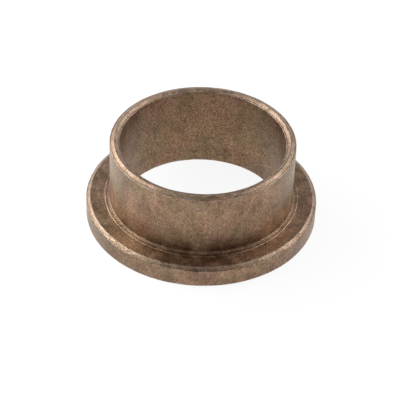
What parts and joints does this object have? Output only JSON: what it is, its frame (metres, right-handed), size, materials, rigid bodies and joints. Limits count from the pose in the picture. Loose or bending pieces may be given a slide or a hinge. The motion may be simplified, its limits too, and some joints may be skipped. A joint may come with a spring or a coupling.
{
  "type": "flanged sleeve bushing",
  "caption": "Flanged bronze sleeve bushing: a thin-walled plain bearing sleeve with a round shoulder flange at one end and a smooth through bore.",
  "frame": {"origin": "on the bore's axis, at the flange's bottom face", "axes": "+Z along the bore, from the flange towards the sleeve's free end; the part is round, so X and Y are any two directions across it"},
  "size_m": [0.054, 0.054, 0.0208],
  "materials": {
    "bronze": "sintered bronze, satin grey-brown, brighter on worn edges"
  },
  "bodies": {
    "root": {"flanged_bushing": "bronze"}
  },
  "joints": []
}
